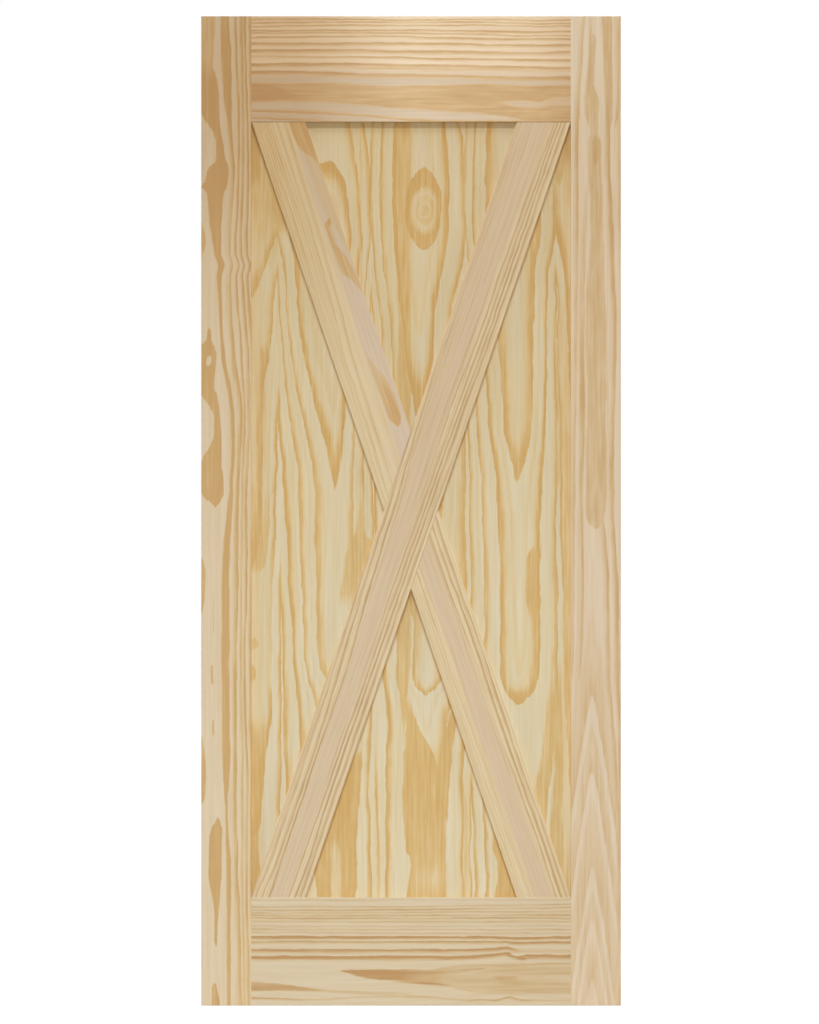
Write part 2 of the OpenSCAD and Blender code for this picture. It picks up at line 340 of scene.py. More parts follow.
# the panel's rotary-cut veneer: place across at the top edge, then height and ring down the line
panelFigure = {
    "lean": 0.012, "leanFrom": 1850,
    "middle": 1069.5,            # the back shows the same figure upside down about this height
    # how wide and long each sway is, how far it moves the grain, its detail, and its shift on the back
    "sway": [(55, 120, 6.0, 1.0, 7.0), (14, 32, 3.6, 2.0, 9.0), (3.0, 45, 1.3, 1.0, 5.0)],
    "jag": (5, 80, 8.0, 2.0, 3.0), "jagRoughness": 0.7,
    "lines": [
        (-356, [(233, 5.5), (300, 5.2), (345, 5.05), (365, 4.98), (450, 4.88), (540, 4.75), (600, 4.45),
                (650, 4.2), (760, 4.1), (850, 4.05), (930, 4), (980, 3.9), (1050, 3.75), (1200, 3.7),
                (1350, 3.6), (1450, 3.1), (1530, 2.95), (1560, 2.75), (1600, 2.45), (1700, 2.3),
                (1906, 2.1)]),
        (-293, [(233, 6.3), (400, 6.2), (600, 6.05), (800, 6.05), (1000, 5.5), (1150, 5.2), (1300, 4.9),
                (1400, 4.6), (1500, 4.3), (1570, 4), (1660, 3), (1690, 2.7), (1725, 2.4), (1800, 2.25),
                (1906, 2.15)]),
        (-173, [(233, 3.85), (275, 3.72), (320, 3.74), (380, 3.84), (480, 3.86), (560, 3.75), (620, 3.4),
                (680, 3), (730, 2.4), (800, 2.2), (1000, 2.15), (1080, 2.05), (1106, 2), (1155, 1.85),
                (1198, 1.66), (1263, 1.4), (1349, 1.2), (1500, 1.1), (1640, 1.05), (1700, 1.15),
                (1750, 1.35), (1780, 1.58), (1800, 1.8), (1824, 2), (1850, 2.07), (1906, 2.3)]),
        (-90, [(233, 5.7), (300, 5.8), (400, 5.88), (600, 5.6), (800, 5.4), (1050, 5), (1200, 5.3),
               (1400, 5.4), (1500, 5.1), (1620, 4.2), (1700, 3.93), (1780, 3.98), (1850, 4.1),
               (1906, 4.35)]),
        (18, [(233, 3.85), (275, 3.78), (310, 3.84), (450, 3.86), (500, 3.8), (540, 3.64), (580, 3.4),
              (630, 3.14), (668, 3), (678, 2.82), (692, 2.5), (710, 2.3), (740, 2.22), (780, 2.3),
              (830, 2.5), (1000, 2.5), (1150, 2.25), (1240, 2), (1320, 1.8), (1400, 1.5), (1500, 1.25),
              (1600, 1.12), (1850, 1.1), (1906, 1.15)]),
        (114, [(233, 6.1), (300, 6.2), (400, 6.1), (500, 5.8), (600, 5.1), (700, 4.5), (800, 4.1),
               (1100, 4.1), (1300, 4), (1500, 3.7), (1600, 3.2), (1700, 2.93), (1780, 2.97), (1850, 3.05),
               (1906, 3.25)]),
        (222, [(240, 2.9), (300, 2.85), (400, 2.6), (500, 2.35), (600, 2.1), (645, 2), (665, 1.85),
               (690, 1.5), (740, 1.3), (800, 1.2), (900, 1.15), (1000, 1.12), (1080, 1.06), (1125, 1),
               (1150, 0.93), (1190, 0.75), (1250, 0.55), (1350, 0.55), (1500, 0.5), (1700, 0.4),
               (1906, 0.4)]),
        (310, [(233, 3.5), (400, 3.4), (600, 3.2), (800, 3.15), (1300, 3.1), (1500, 3.06), (1560, 3),
               (1660, 2), (1760, 1.7), (1906, 1.2)]),
        (356, [(233, 3), (400, 2.8), (800, 2.5), (1500, 1.5), (1906, 1)]),
    ],
    # how late the rings crowd between two lines, down the panel
    "steepness": [
        2.0,
        [(900, 1.5), (1150, 1.2), (1250, 1.35), (1400, 2.2), (1500, 2.8), (1650, 2.8), (1760, 1.2)],
        [(400, 2.8), (700, 2.4), (1000, 1.6)],
        [(233, 3.4), (450, 3.1), (500, 2.6), (540, 1.95), (580, 1.4), (630, 1.15), (668, 1.3), (700, 1.2),
         (735, 1.1), (780, 1.1), (900, 1.6), (1100, 1.9)],
        [(233, 3.4), (450, 3.1), (500, 2.6), (540, 1.95), (580, 1.4), (630, 1.15), (668, 1.3), (700, 1.2),
         (735, 1.1), (780, 1), (900, 1.3), (1500, 1.1), (1700, 1.8)],
        [(500, 1.5), (650, 2), (760, 1.6), (850, 1.3), (1200, 1.5), (1500, 2.2), (1700, 2.9), (1850, 2.5)],
        [(600, 1.4), (900, 1.3), (1500, 2.1)],
        2.0,
    ],
    # amber beside the round end in the middle, beside the long brace, and beside the right tongue
    "patches": [
        ([(560, 0.9), (660, 0.8), (700, 0.65), (900, 0.65)], 9.0,
         [(560, -17), (640, -26), (760, -33), (900, -35)],
         [(560, -12), (640, -10), (680, -3), (730, 1), (900, 3)]),
        ([(860, 0), (890, 0.6), (1000, 0.62), (1100, 0.5)], 9.0,
         [(860, -160), (890, -158), (983, -142), (1019, -126), (1100, -116)],
         [(860, -80), (983, -70), (1019, -95), (1100, -102)]),
        ([(770, 0), (820, 0.5), (870, 0.75), (970, 0.75), (1010, 0)], 7.0,
         [(770, 250), (830, 252), (870, 244), (960, 242), (985, 254), (1010, 268)],
         [(770, 268), (870, 276), (960, 282), (1010, 288)]),
        # the tips of the two upper tongues
        ([(1118, 0.85), (1165, 0.8), (1195, 0.6), (1225, 0)], 6.0,
         [(1114, -162), (1150, -175), (1180, -183), (1225, -189)],
         [(1114, -167), (1150, -152), (1180, -145), (1225, -140)]),
        ([(1120, 0.85), (1160, 0.75), (1182, 0.5), (1205, 0)], 6.0,
         [(1116, 231), (1150, 219), (1205, 208)], [(1116, 227), (1150, 240), (1175, 246), (1205, 250)]),
        # the upper corners beside the stiles, and the strips along the braces there: amber grain, with
        # painted shadow where the rail, stile and brace shade the corner
        ([(1640, 0.3), (1750, 0.5), (1790, 0.85), (1850, 1), (1906, 1)], 8.0,
         -362, [(1640, -316), (1850, -322), (1906, -326)]),
        ([(1560, 0), (1640, 0.4), (1700, 0.55), (1906, 0.6)], 14.0,
         -372, [(1560, -288), (1700, -280), (1906, -296)]),
        ([(1650, 0), (1680, 0.6), (1740, 0.75), (1800, 0.75), (1850, 0.7)], 8.0,
         [(1650, -302), (1677, -300), (1740, -305), (1850, -326)],
         [(1650, -262), (1740, -270), (1800, -290), (1850, -310)]),
        ([(1640, 0.25), (1720, 0.4), (1800, 0.55), (1850, 0.85), (1906, 1)], 8.0,
         [(1640, 328), (1750, 323), (1800, 323), (1850, 326), (1906, 330)], 362),
        ([(1755, 0), (1780, 0.6), (1820, 0.65), (1850, 0.6)], 7.0,
         [(1755, 306), (1800, 309), (1850, 316)], [(1755, 322), (1800, 330), (1850, 336)]),
        # the amber blocks at the foot: left, both sides of the middle one's notch, a soft band, and right
        ([(233, 0.85), (300, 0.8), (400, 0.9), (500, 0.85), (540, 0.6), (560, 0)], 6.0,
         -245,
         [(233, -119), (400, -114), (450, -109), (560, -101)]),
        ([(330, 0), (370, 0.6), (420, 0.75), (600, 0.8), (640, 0.6), (670, 0)], 5.0,
         [(330, -12), (350, -16), (530, -21), (560, -15), (600, -14), (640, -20), (670, -22)],
         [(330, 70), (480, 66), (533, 53), (550, 44), (615, 12), (670, -2)]),
        ([(380, 0), (420, 0.8), (600, 0.8), (640, 0.6), (680, 0)], 6.0,
         [(380, 60), (490, 52), (515, 52), (530, 55), (560, 63), (590, 70), (615, 78), (680, 92)],
         [(380, 79), (450, 83), (500, 87), (550, 90), (640, 104), (680, 110)]),
        ([(233, 0.45), (430, 0.45), (520, 0.3), (560, 0)], 10.0,
         [(233, 104), (400, 105), (500, 112), (560, 118)], [(233, 128), (300, 132), (560, 128)]),
        ([(233, 0.85), (330, 0.8), (370, 0.6), (385, 0)], 5.0,
         [(233, 178), (250, 180), (275, 184), (305, 185), (318, 181), (335, 174), (385, 171)],
         245),
        # the edges beside the stiles, amber that is partly painted shade in the recess beside them, and the
        # band that sweeps in from the right one
        ([(233, 0.95), (330, 0.8), (400, 0.6), (560, 0.75), (600, 0.6), (650, 0)], 7.0,
         -366,
         [(233, -322), (400, -325), (450, -322), (560, -310), (600, -303), (650, -300)]),
        ([(690, 0), (705, 0.65), (725, 0.65), (745, 0)], 5.0,
         -366, [(690, -342), (715, -333), (745, -342)]),
        ([(760, 0), (772, 0.65), (788, 0.65), (800, 0)], 5.0,
         -366, [(760, -340), (780, -329), (800, -340)]),
        ([(400, 0.7), (600, 0.6), (700, 0.55), (800, 0.4), (850, 0)], 9.0,
         [(400, 248), (550, 277), (600, 284), (750, 301), (850, 304)],
         [(400, 280), (450, 284), (550, 300), (600, 305), (650, 311), (850, 317)]),
        ([(233, 0.6), (330, 0.45), (360, 0.3), (640, 0.3), (700, 0.45), (1050, 0.6), (1400, 0.4),
          (1500, 0)], 9.0,
         [(233, 316), (450, 320), (1500, 326)], 366),
        ([(233, 0.6), (580, 0.75), (700, 0.55), (760, 0)], 8.0,
         [(233, 290), (360, 292), (430, 301), (600, 306), (760, 312)],
         [(233, 330), (450, 331), (760, 328)]),
        ([(1100, 0), (1140, 0.5), (1450, 0.45), (1550, 0)], 8.0,
         [(1100, 306), (1550, 308)], 332),
        ([(915, 0), (950, 0.6), (1080, 0.5), (1130, 0.3), (1230, 0.4), (1300, 0.6), (1400, 0.65),
          (1450, 0)], 7.0,
         [(915, -366), (990, -366), (1040, -342), (1110, -334), (1200, -328), (1450, -332)],
         [(915, -330), (950, -314), (1020, -306), (1130, -303), (1300, -310), (1450, -316)]),
    ],
    # the paler left edge beside the middle, then pale wood in and beside the blocks at the foot
    "islands": [
        ([(1110, 0), (1150, 0.5), (1280, 0.5), (1340, 0)], 8.0,
         -370, [(1110, -330), (1340, -332)]),
        ([(660, 0), (700, 0.5), (880, 0.55), (960, 0.2), (990, 0)], 5.0,
         -318, -292),
        ([(233, 0.85), (285, 0.8), (300, 0)], 5.0,
         -250, [(233, -202), (268, -203), (285, -206), (300, -216)]),
        ([(233, 0.5), (330, 0.45), (362, 0)], 8.0,
         [(233, -176), (362, -178)], [(233, -148), (300, -150), (362, -156)]),
        ([(233, 0.9), (320, 0.9), (345, 0)], 3.0,
         -34, [(233, -9), (255, -6), (280, -1), (300, 0), (345, -13)]),
        ([(233, 0.85), (300, 0.8), (345, 0)], 4.0, [(233, 73), (345, 76)], [(233, 96), (345, 98)]),
    ],
    # a knot just under the face: a pointed outline round a paler heart
    "eye": {"x": 27, "z": 1719, "halfWidth": 41, "halfHeight": 92, "powers": (1.5, 2.2), "edge": (0.93, 1.0),
            "heartX": 29, "heartZ": 1715, "heartHalfWidth": 34, "heartHalfHeight": 56,
            "heartEdge": (0.8, 1.05), "ring": 0.93, "heartFade": 0.23, "loose": 0.2, "swell": (24, 40),
            "halos": [(0.66, 0.13, 0.12), (0.32, 0.1, 0.1)]},      # place, width and fade
    "tone": {
        "feather": 0.015, "tint": (216, 203, 166), "tintShare": 0.7, "amber": (206, 171, 108),
        # painted shade: darker towards the top, deepest as a painted shadow under the top rail
        "paintedShade": [(233, 0), (700, 0.05), (1050, 0.25), (1500, 0.5), (1840, 0.62), (1880, 0.8), (1906, 1)],
    },
}


def eyeRings(x, z, rings, eye):
    wide, high = eye["powers"]
    outline = (abs(x - eye["x"]) / eye["halfWidth"]) ** wide + (abs(z - eye["z"]) / eye["halfHeight"]) ** high
    inside = 1.0 - smooth(outline, *eye["edge"])
    u = (x - eye["heartX"]) / eye["heartHalfWidth"]
    v = (z - eye["heartZ"]) / eye["heartHalfHeight"]
    reach = (u * u + v * v) ** 0.5
    ring = eye["ring"] - eye["heartFade"] * (1.0 - smooth(reach, *eye["heartEdge"]))
    swellX, swellZ = eye["swell"]
    loose = reach + eye["loose"] * noise(vector(x / swellX, x * 0.0, z / swellZ), 1.0)
    for place, width, fade in eye["halos"]:
        ring = ring - fade * (1.0 - smooth(abs(loose - place), 0.0, width))
    return rings + inside * (ring - rings)


def makePanelPine(figure):
    board = Board("panelPine")
    x, y, z = board.across, board.through, board.along
    behind = y.math("GREATER_THAN", y, 0.0)
    z = z + behind * (2.0 * figure["middle"] - 2.0 * z)
    bent = x
    for width, length, reach, detail, shift in figure["sway"]:
        bent = bent + reach * noise(vector(x / width, behind * shift, z / length), detail)
    leaned = bent - figure["lean"] * (figure["leanFrom"] - z)
    width, length, reach, detail, shift = figure["jag"]
    jag = noise(vector(x / width, behind * shift, z / length), detail, figure["jagRoughness"])
    height = z + reach * jag
    rings = ringTerrain(leaned, height, figure["lines"], figure["steepness"])
    rings = eyeRings(bent, height, rings, figure["eye"])
    tone = {**plainTone, **figure["tone"]}
    late = laidPatches(lateWood(board, rings, tone), bent, height, figure)
    return finishPine(board, late, tone)


leftStileFigure = {
    "front": 17.5, "slant": 0.9, "kinks": [(1597, 6, 26)], "seed": 2.0, "jag": 9, "sharp": 2.0, "broad": 1.6,
    "lines": [
        (9, [(0, 0.8), (1300, 0.95), (1550, 0.7), (1651, 0.6), (1781, 0.9), (1990, 1.1), (2134, 1)],
         [(0, -365), (357, -374), (487, -377), (745, -377), (875, -374), (1004, -373), (1134, -370),
          (1263, -364), (1392, -378), (1522, -388), (1651, -390), (1781, -381), (1910, -388), (2040, -389),
          (2134, -396)]),
        (5, [(0, 0.65), (1134, 0.65), (1263, 0.95), (2134, 1)],
         [(0, -359), (98, -360), (228, -362), (487, -362), (745, -366), (1134, -362), (1263, -358),
          (1392, -364), (1522, -373), (1651, -377), (1716, -373), (1781, -371), (1910, -371), (2040, -375),
          (2134, -377)]),
        (6, [(0, 0.8), (1134, 0.85), (2134, 0.85)],
         [(0, -349), (98, -350), (228, -353), (487, -350), (616, -356), (745, -357), (875, -355),
          (1134, -353), (1263, -348), (1392, -350), (1522, -359), (1651, -366), (1781, -361), (1910, -361),
          (2134, -364)]),
        (6, [(0, 0.6), (487, 0.8), (745, 0.9), (1263, 0.7), (1522, 0.95), (2134, 0.9)],
         [(0, -341), (98, -342), (228, -344), (487, -341), (616, -344), (875, -344), (1263, -339),
          (1392, -340), (1522, -348), (1651, -353), (1781, -350), (2040, -355), (2134, -356)]),
        (5, [(1400, 0), (1600, 0.5), (1910, 0.8), (2134, 0.7)],
         [(1400, -335), (1522, -338), (1651, -344), (1781, -341), (2040, -345), (2134, -346)]),
        (6, 0.6, [(0, -331), (1000, -334), (2134, -336)]),
        (7, 0.8, [(0, -320), (2134, -324)]),
    ],
    "patches": [
        # the strong band, from the blotch near the top down to the bottom
        (1.0, 5.0,
         [(0, -399), (357, -401), (551, -410), (745, -411), (940, -409), (1004, -405), (1069, -398),
          (1134, -394), (1198, -389), (1328, -398), (1392, -410), (1457, -415), (1608, -426), (1705, -439),
          (1737, -442), (1757, -446), (1767, -457), (1777, -447), (1800, -442), (1808, -437), (1818, -426),
          (1845, -424), (1885, -424), (1902, -410)],
         [(0, -386), (163, -387), (292, -386), (422, -394), (551, -389), (745, -391), (940, -390),
          (1069, -384), (1134, -382), (1198, -377), (1328, -386), (1392, -397), (1457, -404), (1608, -407),
          (1651, -408), (1705, -406), (1755, -401), (1770, -394), (1798, -392), (1813, -393), (1825, -399),
          (1867, -406), (1902, -416)]),
        # the wide band at the top
        (0.9, 6.0, [(1880, -392), (1920, -402), (2000, -410), (2134, -414)],
         [(1880, -388), (1920, -386), (2000, -387), (2134, -396)]),
        # blotches at the outer edge
        ([(1862, 0.95), (1960, 0.95), (1998, 0.85), (2030, 0.6), (2134, 0.5)], 7.0,
         [(1855, -416), (1872, -427), (1885, -432), (1912, -450), (1932, -462), (2134, -464)],
         [(1855, -418), (1872, -408), (1908, -411), (1975, -412), (2000, -417), (2026, -425), (2060, -423),
          (2134, -421)]),
        (0.95, 4.0,
         [(1060, -416), (1075, -424), (1090, -441), (1101, -452), (1134, -458), (1166, -456), (1188, -449),
          (1209, -436), (1231, -428), (1263, -428), (1295, -439), (1317, -454), (1339, -460), (1425, -455),
          (1435, -446), (1457, -442), (1472, -436)],
         [(1060, -426), (1075, -419), (1090, -408), (1101, -403), (1134, -403), (1166, -409), (1188, -408),
          (1263, -411), (1295, -415), (1317, -418), (1339, -424), (1403, -418), (1425, -424), (1435, -429),
          (1457, -433), (1472, -440)]),
        (0.8, 1.5,
         [(430, -452), (440, -465), (960, -465), (975, -452)],
         [(433, -454), (444, -446), (476, -443), (519, -443), (551, -446), (584, -452), (600, -458),
          (830, -458), (842, -452), (907, -443), (940, -444), (972, -454)]),
        (0.7, 3.0, [(1605, -452), (1625, -462), (1675, -462), (1695, -452)],
         [(1605, -454), (1650, -442), (1675, -446), (1695, -454)]),
        # spears at the foot
        (1.05, 2.5,
         [(116, -416), (141, -425), (185, -425), (217, -427), (250, -433), (282, -438), (346, -438),
          (374, -434), (416, -414)],
         [(116, -422), (141, -417), (185, -415), (250, -411), (282, -408), (374, -407), (395, -410),
          (416, -420)]),
        (0.9, 2.5, [(0, -431), (23, -431), (45, -429), (60, -420)],
         [(0, -412), (23, -414), (45, -420), (60, -428)]),
        # short resin marks in the pale wood
        (0.6, 1.0, [(795, -424), (810, -427), (880, -427), (900, -424)],
         [(795, -426), (810, -424), (880, -424), (900, -426)]),
        (0.8, 1.0, [(684, -426), (698, -432), (728, -432), (740, -426)],
         [(684, -430), (698, -426), (728, -426), (740, -430)]),
        (0.75, 1.0, [(576, -424), (590, -430), (612, -430), (624, -424)],
         [(576, -428), (590, -424), (612, -424), (624, -428)]),
    ],
    "islands": [
        (1.0, 2.0, [(1378, -435), (1384, -443), (1398, -442), (1405, -435)],
         [(1378, -439), (1384, -432), (1398, -431), (1405, -438)]),
    ],
    "tone": {
        "pale": (217, 202, 174), "honey": (211, 186, 140), "amber": (198, 164, 111),
        # the painted shade's colour, then the painted shade itself: darker towards the top
        "tint": (213, 193, 162), "paintedShadeColour": (0.74, 0.64, 0.54, 1.0),
        "paintedShade": [(0, 0), (700, 0.03), (1200, 0.2), (1600, 0.5), (1850, 0.85), (1950, 0.92), (2134, 0.88)],
    },
}

rightStileFigure = {
    "front": 17.5, "slant": -0.9, "seed": 6.0, "jag": 9, "sharp": 3.5, "broad": 2.0, "lineShare": 0.88,
    "lines": [
        (7, [(600, 0.9), (1400, 0.9), (1600, 1), (1850, 1), (2134, 0.7)],
         [(600, 455), (681, 449), (810, 448), (940, 444), (1069, 436), (1198, 436), (1328, 440),
          (1457, 442), (1587, 438), (1716, 433), (1845, 427), (1975, 429), (2134, 419)]),
        (6, 0.65, [(1550, 458), (1716, 451), (1845, 451), (1975, 448), (2134, 444)]),
        (8, [(350, 0.7), (900, 0.75), (1060, 0.5), (1140, 0)],
         [(350, 455), (422, 449), (551, 442), (681, 431), (810, 427), (940, 425), (1069, 411),
          (1140, 404)]),
        (7, [(681, 0.5), (1300, 0.6), (1780, 0.7), (1850, 1.1), (1920, 0.8), (2134, 0.6)],
         [(660, 344), (810, 351), (940, 351), (1198, 353), (1328, 357), (1587, 358), (1716, 360),
          (1845, 360), (2134, 373)]),
        (9, [(500, 0.4), (900, 0.6), (1250, 0.8), (1328, 1.1), (1450, 0.8), (1700, 0.5), (1790, 0)],
         [(500, 346), (810, 370), (940, 372), (1069, 370), (1198, 373), (1328, 374), (1457, 372),
          (1587, 374), (1716, 378), (1790, 384)]),
        (6, [(1930, 0), (1975, 0.9), (2134, 0.5)], [(1930, 382), (2134, 391)]),
        (7, 0.6, [(0, 463), (2134, 461)]),
        (7, 0.7, [(0, 474), (2134, 473)]),
        (7, 0.6, [(0, 336), (2134, 335)]),
        (8, 0.7, [(0, 324), (2134, 326)]),
    ],
    "patches": [
        (0.55, 7.0,
         [(1022, 400), (1034, 384), (1060, 374), (1328, 375), (1457, 373), (1587, 378), (1673, 383),
          (1751, 382), (1795, 379), (1860, 379), (1895, 392)],
         [(1022, 394), (1034, 410), (1060, 420), (1134, 424), (1198, 424), (1263, 421), (1328, 424),
          (1457, 424), (1587, 420), (1673, 417), (1751, 415), (1795, 412), (1860, 412), (1895, 398)]),
        (0.52, 6.0,
         [(1840, 396), (1860, 386), (1892, 382), (1917, 373), (1950, 371), (1989, 374), (2040, 378),
          (2085, 380), (2104, 391)],
         [(1840, 398), (1860, 405), (1917, 405), (1950, 408), (1975, 401), (1989, 397), (2085, 401),
          (2104, 390)]),
        (0.65, 5.0, [(1880, 422), (1920, 418), (2134, 410)], [(1880, 426), (1920, 436), (2134, 434)]),
        (0.6, 5.0, [(1890, 436), (1960, 440), (2134, 442)], [(1890, 440), (1960, 458), (2134, 458)]),
        (0.78, 5.0, [(1803, 399), (1825, 388), (1860, 388), (1884, 397)],
         [(1803, 395), (1825, 406), (1860, 407), (1884, 397)]),
    ],
    # arches that stand on one another in the lower half: the tone down their middle line
    "middle": 391, "archSlope": 7.0, "archRound": 9.0,
    "archSwell": (22, 90), "archSway": 14.0, "archShare": 0.8,
    "arches": [(0, 0.05), (45, 0.05), (62, 0.5), (110, 0.4), (138, 0.25), (150, 0.05), (175, 0.05),
               (190, 0.5), (235, 0.4), (252, 0.05), (285, 0.05), (300, 0.55), (380, 0.45), (440, 0.3),
               (455, 0.03), (490, 0.03), (505, 0.6), (560, 0.45), (600, 0.3), (612, 0), (655, 0),
               (670, 0.65), (740, 0.45), (820, 0.3), (860, 0.05), (900, 0)],
    "tone": {
        "pale": (218, 203, 181), "honey": (207, 182, 143), "amber": (195, 163, 117),
        "tint": (217, 197, 169), "tintShare": 0.6,
        # painted shade: darker high up the stile, easing off at the very top
        "paintedShade": [(0, 0), (1200, 0.12), (1600, 0.22), (1700, 0.34), (1850, 0.36), (1950, 0.22), (2134, 0.1)],
    },
}


def makeStilePine(name, figure):
    board = Board(name)
    bent, along = swayed(board, figure)
    late = laidGrain(bent, along, figure)
    if "arches" in figure:
        aside = bent - figure["middle"]
        drop = ((aside * aside + figure["archRound"] ** 2) ** 0.5 - figure["archRound"]) * figure["archSlope"]
        sway = board.cloud(*figure["archSwell"]) * figure["archSway"]
        arches = curve(board.along + drop + sway, figure["arches"])
        late = late.math("MAXIMUM", late, figure["archShare"] * arches)
    return finishPine(board, late, {**plainTone, **figure["tone"]})


topRailFigure = {
    "front": 17.5, "slant": -0.9, "seed": 11.0, "jag": 20, "sharp": 2.4, "broad": 1.5, "lineShare": 0.88,
    "lines": [
        (3, 0.8, [(-345, 2128), (-142, 2128), (-45, 2126), (170, 2127), (257, 2125), (345, 2126)]),
        (3, 0.75, [(-345, 2121), (170, 2121), (257, 2118), (345, 2119)]),
        (3, 0.75, [(-345, 2113), (-142, 2114), (62, 2114), (170, 2115), (257, 2112), (345, 2113)]),
        (4, 0.85, [(-345, 2104), (-45, 2104), (257, 2101), (345, 2102)]),
        (3, 0.75, [(-345, 2098), (-45, 2098), (62, 2096), (170, 2095), (257, 2092), (345, 2092)]),
        (4, 0.8, [(-345, 2089), (-45, 2091), (62, 2088), (345, 2085)]),
        (6, 0.85, [(-345, 2076), (-239, 2075), (-45, 2077), (62, 2076), (170, 2073), (345, 2072)]),
        (8, [(-345, 0.9), (0, 0.8), (345, 0.65)],
         [(-345, 2061), (-142, 2061), (62, 2059), (170, 2058), (257, 2056), (345, 2057)]),
        (5, [(-345, 0.6), (0, 0.8), (345, 0.85)],
         [(-345, 2048), (-142, 2046), (-45, 2046), (62, 2043), (345, 2040)]),
        (8, [(-345, 1), (0, 0.85), (345, 0.8)],
         [(-345, 2032), (-142, 2032), (-45, 2030), (62, 2029), (170, 2026), (345, 2023)]),
        (5, [(-200, 0), (-100, 0.6), (200, 0.6), (290, 0.3), (345, 0)],
         [(-200, 2025), (62, 2021), (345, 2018)]),
        (9, [(-345, 1), (0, 0.85), (200, 0.85), (345, 1.1)],
         [(-345, 2016), (-239, 2015), (-142, 2011), (62, 2008), (257, 2003), (345, 2003)]),
        (-6, 0.9, [(-345, 1928), (-142, 1921), (-45, 1912), (62, 1905)]),
        (-5, 0.8, [(-345, 1913), (-239, 1910), (-142, 1903)]),
        (7, 0.8, [(-345, 1895), (345, 1893)]),
        (7, 0.7, [(-345, 1882), (345, 1880)]),
    ],
    "patches": [
        # the broad tan band, and its browner left end
        ([(-345, 0.7), (-100, 0.66), (20, 0.68), (170, 0.74), (345, 0.74)], 10.0,
         [(-345, 1943), (-239, 1944), (-142, 1939), (-45, 1931), (62, 1924), (170, 1917), (230, 1905),
          (300, 1885)],
         [(-345, 1995), (-142, 1992), (-45, 1988), (170, 1991), (257, 1987), (345, 1989)]),
        ([(-345, 0.95), (-260, 0.95), (-214, 0.9), (-190, 0)], 8.0,
         [(-345, 1946), (-280, 1949), (-239, 1955), (-190, 1958)],
         [(-345, 1993), (-290, 1986), (-255, 1971), (-190, 1964)]),
    ],
    # pale clouds in the band's right end
    "islands": [
        ([(110, 0), (190, 0.3), (225, 0.7), (270, 0.75), (300, 0.5), (345, 0.55)], 9.0,
         [(110, 1946), (190, 1943), (230, 1933), (270, 1931), (300, 1935), (345, 1936)],
         [(110, 1951), (190, 1952), (240, 1954), (280, 1952), (300, 1958), (345, 1963)]),
    ],
    # greyer wood in the lower half
    "blush": (1.0, 70.0, 1800, [(-345, 2036), (0, 2034), (345, 2030)]),
    "tone": {
        "pale": (238, 218, 190), "honey": (219, 190, 147), "amber": (203, 168, 121),
        # the colour that the painted shade below multiplies in
        "tint": (234, 211, 179), "tintShare": 0.5, "paintedShadeColour": (0.70, 0.61, 0.50, 1.0),
        "blush": (217, 199, 175),
        # painted shade: darker towards both ends of the rail, so its middle reads as lit
        "paintedShade": [(-345, 1), (-230, 0.88), (-142, 0.55), (-45, 0.15), (20, 0.03), (120, 0.1), (257, 0.25),
                (345, 0.65)],
    },
}

